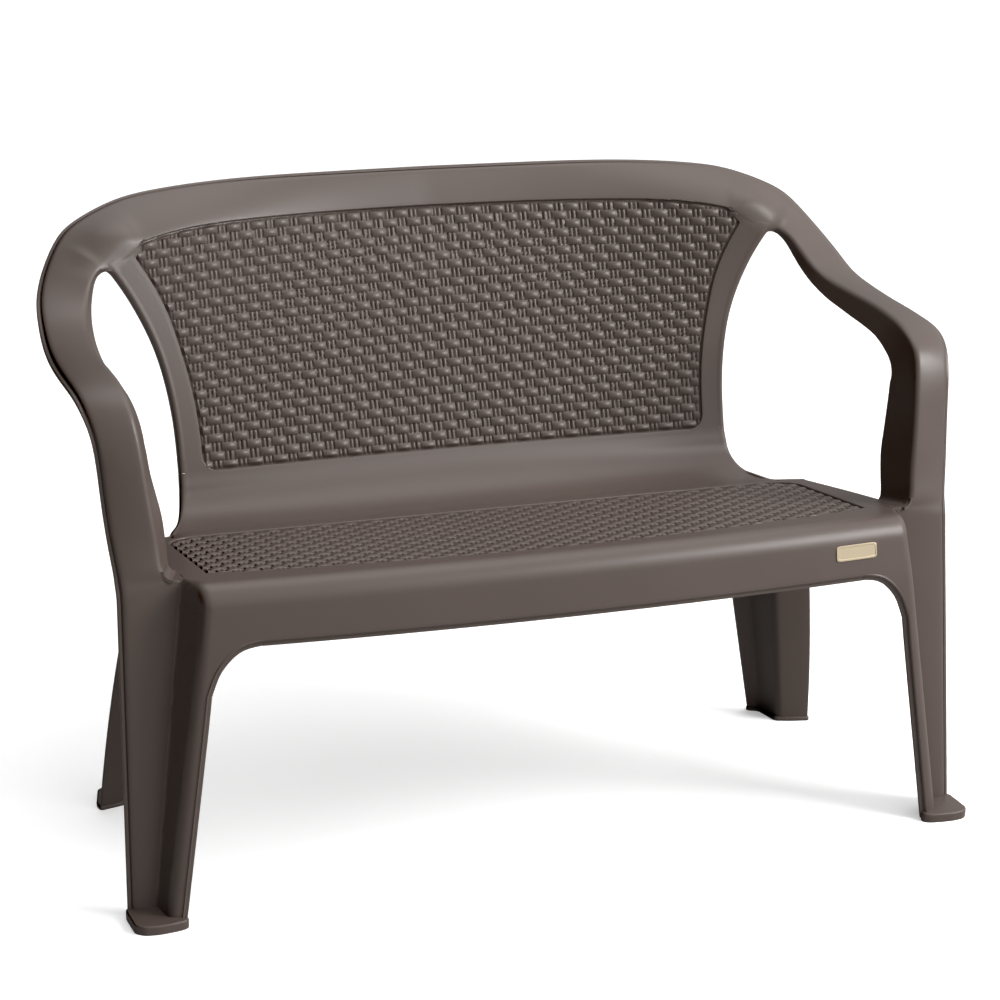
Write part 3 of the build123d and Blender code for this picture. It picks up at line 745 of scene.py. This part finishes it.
apronGrid, cornerGrid, cornerDeck, legGrid = frontGrids()
towards = vec(0, -1, 0.15)
frontObject = buildMesh("frontApronAndLegs", [
    (apronGrid, vec(0, -1, 0.6)), (cornerGrid, vec(0, -1, 0.6)), (mirrored(cornerGrid), vec(0, -1, 0.6)),
    (cornerDeck, vec(0, 0, 1)), (mirrored(cornerDeck), vec(0, 0, 1)),
    (legGrid, towards), (mirrored(legGrid), towards)], wall=shell["wall"])
place(frontObject, mouldedTaupe, "moulding", "front_apron", "seat_front_roll",
      *bothSides("front_leg", "seat_corner"))
print("front made")

# The seat's borders with their skirts, and the fillets at the arm posts.
border = {
    "grooveRound": 1.6, "grooveDepth": 6.0, "edgeRound": 7.0, "skirt": 44.0, "cornerRadius": 42.0,
    "postFillet": 11.0, "cornerX": 478.4,
}


def seatSideEdge(y):
    # outer edge of the seat, drawing in towards the back with a power of the distance
    return 496.0 - 26.0 * (np.maximum(y + 191.0, 0) / 221.0)**1.4


def borderGrid():
    # rows run from the front roll to the lumbar roll; the woven field's rear corner is rounded
    f = np.linspace(0, 1, 60)
    rear = form["weaveRear"]
    half, r = form["weaveHalf"], border["cornerRadius"]
    rowY = weaveFrontY(half) + (rear - weaveFrontY(half)) * f
    into = np.clip((rowY - (rear - r)) / r, 0, 1)
    innerX = half - r * (1 - np.sqrt(np.maximum(1 - into**2, 0)))
    frontY = weaveFrontY(border["cornerX"])
    outerY = frontY + (rear - frontY) * f
    innerP = np.stack([innerX, rowY, deckZ(rowY)], axis=1)
    outerP = np.stack([seatSideEdge(outerY), outerY, deckZ(outerY)], axis=1)
    normal = np.tile(unit(vec(0, form["seatFall"], 1)), (len(f), 1))
    along = unit(np.gradient(innerP, axis=0))
    awayIn = unit(np.cross(normal, along))
    awayIn = awayIn * np.sign(np.sum(awayIn * vec(-1, -0.5, 0), axis=1, keepdims=True))
    left = dropEdge(innerP, awayIn, normal, border["grooveRound"], border["grooveDepth"])[::-1]
    awayOut = np.tile(vec(1, 0, 0), (len(f), 1))
    right = dropEdge(outerP, awayOut, normal, border["edgeRound"], border["skirt"])
    middlePart = [left[-1] * (1 - s) + right[0] * s for s in np.linspace(0, 1, 9)[1:-1]]
    return toGrid(left + middlePart + right)


def postDeckGrid():
    # small patch of deck between the leg's side wall and the foot of the arm post
    x = np.linspace(476.0, 504.0, 8)
    y = np.linspace(-211.5, weaveFrontY(border["cornerX"]) + 1, 7)
    xs, ys = np.meshgrid(x, y)
    return np.stack([xs, ys, deckZ(ys) - 0.05], axis=-1)


def postFilletGrid():
    # concave quarter round between the deck and the inner flange of the arm post
    s = np.linspace(-0.03, 1.0, 14)[:, None]
    base = vec(500.6, -211.5, 0) * (1 - s) + vec(483.4, -162.5, 0) * s
    base[:, 2] = deckZ(base[:, 1])
    inward = np.tile(unit(vec(-48, -17, 0)), (len(s), 1))
    r = border["postFillet"]
    foot = base + inward * r
    foot[:, 2] = deckZ(foot[:, 1]) - 0.1
    return toGrid(cornerArc(foot, base, base + vec(0.4, 0, r), 8))


seatBorder, postDeck, postFillet = borderGrid(), postDeckGrid(), postFilletGrid()
borderObject = buildMesh("seatBorders", [(seatBorder, vec(0, 0, 1)), (mirrored(seatBorder), vec(0, 0, 1)),
                                         (postDeck, vec(0, 0, 1)), (mirrored(postDeck), vec(0, 0, 1)),
                                         (postFillet, vec(-1, 0, 1)), (mirrored(postFillet), vec(1, 0, 1))],
                         wall=shell["wall"])
place(borderObject, mouldedTaupe, "moulding", *bothSides("seat_border", "side_rail"))
print("seat borders made")

# The woven fields: relief in the mesh itself, over a plain backing sheet.
weave = {
    "period": 35.0, "strand": 22.0, "strandTurn": 1.42,
    "ribAt": 3.1, "ribHalf": 2.9, "backing": 4.5, "backingWall": 2.0, "overlap": 3.0,
    "row": 12.4, "backHeight": 5.4, "backFloor": -4.4, "ribHeight": 3.0, "backShift": 8.0,
    "seatRow": 12.8, "seatHeight": 3.6, "seatFloor": -3.4, "seatRibHeight": 2.2, "seatShift": 3.0,
    "fadeFrom": 1.5, "backFade": 3.0, "seatFade": 2.5,
}


def wovenHeight(a, b, row, strandHeight, floor, ribHeight):
    # rows of rounded strands pass over a post and dive behind the next, every other row half a period on;
    # double ribbed posts stand between them, and the higher of the two surfaces shows
    period, strand = weave["period"], weave["strand"]
    line = np.floor(b / row)
    across = (b / row - line) * 2 - 1
    phase = (a / period + 0.5 * np.mod(line, 2) + 0.5) % 1.0 - 0.5
    p = np.abs(phase) * period
    half = strand / 2
    arch = np.cos(np.clip(p / half, 0, 1) * weave["strandTurn"])
    tube = np.sqrt(np.maximum(1 - (across * 0.93)**2, 0))
    top = strandHeight * (0.30 + 0.70 * arch) * (0.12 + 0.88 * tube)
    edge = np.clip((half - p) / 1.2 + 0.5, 0, 1)
    over = floor + top * edge
    gap = np.abs(p - period / 2)
    ribs = np.sqrt(np.maximum(1 - ((gap - weave["ribAt"]) / weave["ribHalf"])**2, 0))
    under = floor + ribHeight * ribs * (0.70 + 0.30 * tube)
    return np.maximum(over, under)


def fadedRelief(height, floor, inset, over):
    # the relief sinks to its floor along the field's edge, inset being the distance to that edge
    fade = np.clip((inset - weave["fadeFrom"]) / over, 0, 1)
    return floor + (height - floor) * fade


def backWeave(sign):
    # half of the back's field; the relief fades to the groove along its edge
    cols, rows = 330, 292
    f = np.linspace(0, 1, cols)[None, :]
    v = np.linspace(0, 1, rows)[:, None]
    z = form["backBottom"] + (fieldTop(f * fieldEdge[-1, 1]) - form["backBottom"]) * v
    z = z * np.ones_like(f)
    half = fieldHalf(z.reshape(-1)).reshape(z.shape)
    x = sign * f * half
    points = np.stack([x, backY(x, z), z], axis=-1)
    slope = math.hypot(1, form["backSlope"])
    normal = vec(0, -1, form["backSlope"]) / slope
    height = wovenHeight(x + weave["backShift"], (z - form["backBottom"]) * slope, weave["row"],
                         weave["backHeight"], weave["backFloor"], weave["ribHeight"])
    inset = np.minimum.reduce([half - np.abs(x), (z - form["backBottom"]), fieldTop(x) - z])
    height = fadedRelief(height, weave["backFloor"], inset, weave["backFade"])
    return points + normal * height[..., None]


def seatWeave(sign):
    # half of the seat's field, its rear corner rounded by the fade
    cols, rows = 330, 250
    f = np.linspace(0, 1, cols)[None, :]
    v = np.linspace(0, 1, rows)[:, None]
    x = sign * f * form["weaveHalf"] * np.ones_like(v)
    y = weaveFrontY(x) + (form["weaveRear"] - weaveFrontY(x)) * v
    points = np.stack([x, y, deckZ(y)], axis=-1)
    normal = unit(vec(0, form["seatFall"], 1))
    height = wovenHeight(x + weave["seatShift"], y - form["weaveRear"], weave["seatRow"],
                         weave["seatHeight"], weave["seatFloor"], weave["seatRibHeight"])
    corner = border["cornerRadius"]
    into = np.clip((y - (form["weaveRear"] - corner)) / corner, 0, 1)
    half = form["weaveHalf"] - corner * (1 - np.sqrt(np.maximum(1 - into**2, 0)))
    inset = np.minimum.reduce([half - np.abs(x), y - weaveFrontY(x), form["weaveRear"] - y])
    height = fadedRelief(height, weave["seatFloor"], inset, weave["seatFade"])
    return points + normal * height[..., None]


def backingGrid(points, normal):
    # plain sheet behind a woven field
    return points - normal * weave["backing"]


def backField(cols, rows):
    # the back's field a little past its edges, straight lines across between the two side edges
    f = np.linspace(-1, 1, cols)[None, :]
    v = np.linspace(0, 1, rows)[:, None]
    past = weave["overlap"]
    z = form["backBottom"] - past + (fieldTop(f * fieldEdge[-1, 1]) + past - form["backBottom"] + past) * v
    x = f * (fieldHalf(z.reshape(-1)).reshape(z.shape) + past)
    return np.stack([x, backY(x, z), z], axis=-1)


def seatField(cols, rows):
    # the seat's field a little past its edges, on the deck plane
    f = np.linspace(-1, 1, cols)[None, :]
    v = np.linspace(0, 1, rows)[:, None]
    past = weave["overlap"]
    x = f * (form["weaveHalf"] + past) * np.ones_like(v)
    y = weaveFrontY(x) - past + (form["weaveRear"] + past - weaveFrontY(x) + past) * v
    return np.stack([x, y, deckZ(y)], axis=-1)


backNormal = unit(vec(0, -1, form["backSlope"]))
seatNormal = unit(vec(0, form["seatFall"], 1))
backing = buildMesh("backPanelSheet", [(backingGrid(backField(60, 24), backNormal), vec(0, -1, 0.4))],
                    wall=weave["backingWall"])
place(backing, mouldedTaupe, "moulding", "back_panel")
backing = buildMesh("seatPanelSheet", [(backingGrid(seatField(60, 16), seatNormal), vec(0, 0, 1))],
                    wall=weave["backingWall"])
place(backing, mouldedTaupe, "moulding", "seat_panel")
for side, sign in (("Left", -1), ("Right", 1)):
    panel = buildMesh("backWeave" + side, [(backWeave(sign), vec(0, -1, 0.41))], weld=False)
    place(panel, mouldedTaupe, "moulding")
    panel = buildMesh("seatWeave" + side, [(seatWeave(sign), vec(0, 0, 1))], weld=False)
    place(panel, mouldedTaupe, "moulding")
print("woven fields made")

# The rear legs, bent channels that splay backwards to the floor.
rearLeg = {
    "rounding": 8.0, "rearRounding": 5.0, "lip": 4.0, "bottom": 4.0,
    "tops": (384.5, 383.5, 388.5, 389.0),      # heights where the four edges end under the seat
    "skirtReach": 6.5,                         # how far the front flange widens to meet the seat's skirt
}


def rearLegGrid():
    # outer face, side wall and inner flange with rounded corners, each edge a line or shallow curve in z
    z0, z1, z2, z3 = (np.linspace(rearLeg["bottom"], top, 60) for top in rearLeg["tops"])
    widen = rearLeg["skirtReach"] * np.exp((z0 - 384) / 22)
    p0 = np.stack([523 - 0.06 * z0 - 0.00019 * z0 * z0, 88 - 0.137 * z0 - widen, z0], axis=1)
    p1 = np.stack([480 - 0.143 * z1, 98 - 0.135 * z1, z1], axis=1)
    p2 = np.stack([472 - 0.19 * z2, 147 - 0.125 * z2, z2], axis=1)
    p3 = np.stack([457 - 0.23 * z3, 152 - 0.125 * z3, z3], axis=1)
    r, rearR = rearLeg["rounding"], rearLeg["rearRounding"]
    back = np.tile(vec(0, 1, 0), (len(z0), 1))
    columns = [p0 + back * rearLeg["lip"]] + cornerArc(p0 + back * 2, p0, p0 + unit(p1 - p0) * 3, 4)
    columns += [p0 + (p1 - p0) * s for s in (0.3, 0.55)]
    columns += cornerArc(p1 + unit(p0 - p1) * r, p1, p1 + unit(p2 - p1) * r, 6)
    columns += [p1 + (p2 - p1) * 0.5]
    columns += cornerArc(p2 + unit(p1 - p2) * rearR, p2, p2 + unit(p3 - p2) * rearR, 5)
    columns += [p3, p3 + back * 3]
    return toGrid(columns)


rearGrid = rearLegGrid()
rearObject = buildMesh("rearLegs", [(rearGrid, vec(0, -1, 0)), (mirrored(rearGrid), vec(0, -1, 0))],
                       wall=shell["wall"])
place(rearObject, mouldedTaupe, "moulding", *bothSides("rear_leg"))

# The rear apron, a bent strip between the rear legs.
rearApron = {"half": 369.5, "y": 101.5, "low": 345.0, "high": 391.0, "round": 3.0, "return": 6.0}


def rearApronGrid():
    # short return, rounded lower edge and upright face, carried straight across
    x = np.linspace(-rearApron["half"], rearApron["half"], 41)
    low = np.stack([x, np.full_like(x, rearApron["y"]), np.full_like(x, rearApron["low"])], axis=1)
    high = low + vec(0, 0, rearApron["high"] - rearApron["low"])
    back, up, r = vec(0, 1, 0), vec(0, 0, 1), rearApron["round"]
    rows = [low + back * rearApron["return"]] + cornerArc(low + back * r, low, low + up * r, 4) + [high]
    return np.stack(rows)


apronStrip = buildMesh("rearApronStrip", [(rearApronGrid(), vec(0, -1, 0))], wall=shell["wall"])
place(apronStrip, mouldedTaupe, "moulding", "rear_apron")

# The feet, flat pads whose outlines (x, y) follow the legs' sections.
feet = {"frontHeight": 12.0, "rearHeight": 6.0, "rounding": 2.5, "cornerRounding": 5.0, "sharpAngle": 50.0}
frontOutline = vec(499, -299, 507, -304.5, 520, -307, 539, -308.6, 556, -306, 566, -296, 567, -255, 566, -247,
                   523, -247, 516, -284, 500, -289).reshape(-1, 2)
rearOutline = vec(455, 149, 468, 145, 475, 99, 496, 91, 524, 84, 526, 100, 514, 148, 470, 160,
                  455, 158).reshape(-1, 2)


def softOutline(outline, perSide, rounding):
    # the polygon with its corners cut by short arcs
    last, nxt = np.roll(outline, 1, axis=0), np.roll(outline, -1, axis=0)
    reachBack = np.minimum(rounding, 0.4 * np.linalg.norm(last - outline, axis=1, keepdims=True))
    reachOn = np.minimum(rounding, 0.4 * np.linalg.norm(nxt - outline, axis=1, keepdims=True))
    start, end = outline + unit(last - outline) * reachBack, outline + unit(nxt - outline) * reachOn
    arc = cornerArc(start, outline, end, perSide)
    return np.stack(arc, axis=1).reshape(-1, 2)


def footGrid(outline, height, rounding):
    # closed slab: flat underside, upright edge, rounded top rim and flat top
    ring = softOutline(outline, 4, feet["cornerRounding"])
    ring = np.concatenate([ring, ring[:1]])
    along = unit(np.gradient(ring, axis=0))
    inward = np.stack([-along[:, 1], along[:, 0]], axis=1)
    centre = ring[:-1].mean(axis=0)
    inward = inward * np.sign(np.sum(inward * (centre - ring), axis=1, keepdims=True) + 1e-9)
    rows = []
    for share, level in ((0.0, 0.0), (0.995, 0.0)):
        rows.append(np.c_[centre + (ring - centre) * share, np.full(len(ring), level)])
    for angle in np.linspace(0, math.pi / 2, 6):
        inset = rounding * (1 - math.cos(angle))
        level = height - rounding + rounding * math.sin(angle)
        rows.append(np.c_[ring + inward * inset, np.full(len(ring), level)])
    rows.append(np.c_[centre + (ring + inward * rounding - centre) * 0.0, np.full(len(ring), height)])
    return np.stack(rows)


footKinds = (("frontFeet", "front_foot", frontOutline, feet["frontHeight"]),
             ("rearFeet", "rear_foot", rearOutline, feet["rearHeight"]))
for name, nodes, outline, high in footKinds:
    grid = footGrid(outline, high, feet["rounding"])
    foot = buildMesh(name, [(grid, vec(0, 0, 0)), (mirrored(grid), vec(0, 0, 0))])
    bm = bmesh.new()
    bm.from_mesh(foot.data)
    bmesh.ops.recalc_face_normals(bm, faces=bm.faces)
    bm.to_mesh(foot.data)
    bm.free()
    foot.data.set_sharp_from_angle(angle=math.radians(feet["sharpAngle"]))
    place(foot, mouldedTaupe, "moulding", *bothSides(nodes))
print("legs and feet made")

# The badge, a blank plate on the apron.
badge = {"x": 388.0, "z": 382.0, "wide": 60.0, "high": 20.0, "deep": 1.5, "rim": 2.2, "sink": 0.6,
         "bevel": 0.35, "cornerPower": 0.22}


def badgeGrid():
    # rounded plate with a raised border round a blank recessed field
    turn = np.linspace(0, 2 * math.pi, 97)
    cosine, sine, power = np.cos(turn), np.sin(turn), badge["cornerPower"]
    corner = np.stack([np.sign(cosine) * np.abs(cosine)**power, np.sign(sine) * np.abs(sine)**power], 1)
    deep, bevel, field = badge["deep"], badge["bevel"], badge["deep"] - badge["sink"]
    levels = ((0, 0.0), (0, deep - bevel), (bevel, deep), (badge["rim"], deep), (badge["rim"] + 0.5, field))
    rows = []
    for inset, level in levels:
        size = vec(badge["wide"] / 2 - inset, badge["high"] / 2 - inset)
        rows.append(np.c_[corner * size, np.full(len(turn), level)])
    rows.append(np.c_[corner * 0.0, np.full(len(turn), field)])
    flat = np.stack(rows)
    lean = math.atan(form["apronLean"])
    yaw = 2 * form["bow"] * badge["x"]
    right = unit(vec(1, yaw, 0))
    up = unit(vec(0, math.sin(lean), math.cos(lean)))
    out = unit(np.cross(right, up))
    base = vec(badge["x"], faceY(vec(badge["x"]), vec(badge["z"]))[0], badge["z"]) - out * 0.1
    out = out * np.sign(-out[1])
    return base + flat[..., :1] * right + flat[..., 1:2] * up + flat[..., 2:] * out, out


badgePoints, badgeOut = badgeGrid()
badgeObject = buildMesh("blankBadge", [(badgePoints, badgeOut)])
place(badgeObject, badgeBrass, "badge_metal", "badge_plate")
print("badge made")

# the ribs under the seat show as the CAD made them
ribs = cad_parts["under_seat_ribs"]
ribs.data.materials.clear()
ribs.data.materials.append(mouldedTaupe)

# The studio: a pale floor, a key light from the right, weak fill and top lights and a graded sky.
studio = {
    "floor": (0.95, 0.95, 0.95), "floorBounce": (0.42, 0.41, 0.40), "floorLift": 0.38, "floorHalf": 30.0,
    "skyLow": 0.06, "skyRise": 1.46, "skyFrom": (0.66, -0.32, 0.68),
    "key": 150.0, "fill": 10.0, "top": 22.0,
}


def floorPlane():
    # one square at floor level
    obj = bpy.data.objects.new("studioFloor", bpy.data.meshes.new("studioFloor"))
    corners = vec(-1, -1, 0, 1, -1, 0, 1, 1, 0, -1, 1, 0).reshape(-1, 3) * studio["floorHalf"]
    obj.data.from_pydata(corners.tolist(), [], [(0, 1, 2, 3)])
    bpy.context.scene.collection.objects.link(obj)
    material = bpy.data.materials.new("paleFloor")
    material.use_nodes = True
    nodes, links = material.node_tree.nodes, material.node_tree.links
    shader = nodes["Principled BSDF"]
    # the floor looks pale but throws less light back up, as a floor flagged off beside the set
    rayKind = nodes.new("ShaderNodeLightPath")
    tone = nodes.new("ShaderNodeMix")
    tone.data_type = "RGBA"
    tone.inputs[6].default_value = (*studio["floorBounce"], 1)
    tone.inputs[7].default_value = (*studio["floor"], 1)
    links.new(rayKind.outputs["Is Camera Ray"], tone.inputs[0])
    links.new(tone.outputs[2], shader.inputs["Base Color"])
    lift = nodes.new("ShaderNodeMath")
    lift.operation = "MULTIPLY"
    lift.inputs[1].default_value = studio["floorLift"]
    links.new(rayKind.outputs["Is Camera Ray"], lift.inputs[0])
    shader.inputs["Emission Color"].default_value = (1, 1, 1, 1)
    links.new(lift.outputs[0], shader.inputs["Emission Strength"])
    shader.inputs["Roughness"].default_value = 0.9
    shader.inputs["Specular IOR Level"].default_value = 0.1
    obj.data.materials.append(material)


def softLight(name, position, target, size, power):
    # a rectangular lamp that looks from position to target
    lamp = bpy.data.lights.new(name, "AREA")
    lamp.shape = "RECTANGLE"
    lamp.size, lamp.size_y = size
    lamp.energy = power
    obj = bpy.data.objects.new(name, lamp)
    bpy.context.scene.collection.objects.link(obj)
    obj.location = position
    obj.rotation_euler = (Vector(target) - Vector(position)).to_track_quat("-Z", "Y").to_euler()


def gradedSky():
    # strength is a low value plus a share of the direction's dot product with skyFrom;
    # the camera itself sees plain white
    sky = bpy.data.worlds.new("studioWorld")
    sky.use_nodes = True
    nodes, links = sky.node_tree.nodes, sky.node_tree.links
    background = nodes["Background"]
    background.inputs["Color"].default_value = (1, 1, 1, 1)
    coords = nodes.new("ShaderNodeTexCoord")
    side = nodes.new("ShaderNodeVectorMath")
    side.operation = "DOT_PRODUCT"
    side.inputs[1].default_value = studio["skyFrom"]
    rise = nodes.new("ShaderNodeMath")
    rise.operation = "MULTIPLY_ADD"
    rise.inputs[1].default_value = studio["skyRise"]
    rise.inputs[2].default_value = studio["skyLow"]
    links.new(coords.outputs["Generated"], side.inputs[0])
    links.new(side.outputs["Value"], rise.inputs[0])
    links.new(rise.outputs[0], background.inputs["Strength"])
    paleSky = nodes.new("ShaderNodeBackground")
    paleSky.inputs["Color"].default_value = (1, 1, 1, 1)
    rayKind = nodes.new("ShaderNodeLightPath")
    choose = nodes.new("ShaderNodeMixShader")
    links.new(rayKind.outputs["Is Camera Ray"], choose.inputs[0])
    links.new(background.outputs[0], choose.inputs[1])
    links.new(paleSky.outputs[0], choose.inputs[2])
    links.new(choose.outputs[0], nodes["World Output"].inputs["Surface"])
    return sky


floorPlane()
softLight("keyLight", (2.8, -2.2, 2.6), (0, 0, 0.45), (1.6, 1.8), studio["key"])
softLight("fillLight", (-3.0, -2.4, 1.6), (0, 0, 0.4), (1.4, 2.0), studio["fill"])
softLight("topLight", (0.3, 0.6, 3.2), (0, 0, 0.3), (2.6, 1.8), studio["top"])
world = gradedSky()
bpy.context.scene.world = world

# The camera: place in metres, angles in radians, lens in millimetres.
view = {
    "position": (-1.2143, -3.2372, 1.4372), "yaw": 0.3559, "pitch": 0.2881, "roll": 0.0126,
    "lens": 98.17, "shiftX": 0.0115, "shiftY": -0.0041,
}


def makeCamera():
    # yaw turns right from the back wall, pitch looks down, roll leans the picture
    yaw, pitch, roll = view["yaw"], view["pitch"], view["roll"]
    forward = Vector((math.sin(yaw) * math.cos(pitch), math.cos(yaw) * math.cos(pitch), -math.sin(pitch)))
    right = Vector((math.cos(yaw), -math.sin(yaw), 0))
    up = right.cross(forward)
    turnedRight = right * math.cos(roll) + up * math.sin(roll)
    turnedUp = up * math.cos(roll) - right * math.sin(roll)
    data = bpy.data.cameras.new("studioCamera")
    data.lens = view["lens"]
    data.sensor_width = 36.0
    data.shift_x, data.shift_y = view["shiftX"], view["shiftY"]
    data.clip_end = 100
    obj = bpy.data.objects.new("studioCamera", data)
    bpy.context.scene.collection.objects.link(obj)
    turn = Matrix((turnedRight, turnedUp, -forward)).transposed()
    obj.matrix_world = Matrix.Translation(Vector(view["position"])) @ turn.to_4x4()
    bpy.context.scene.camera = obj


makeCamera()
bpy.context.scene.view_settings.view_transform = "Standard"
print("studio and camera made")
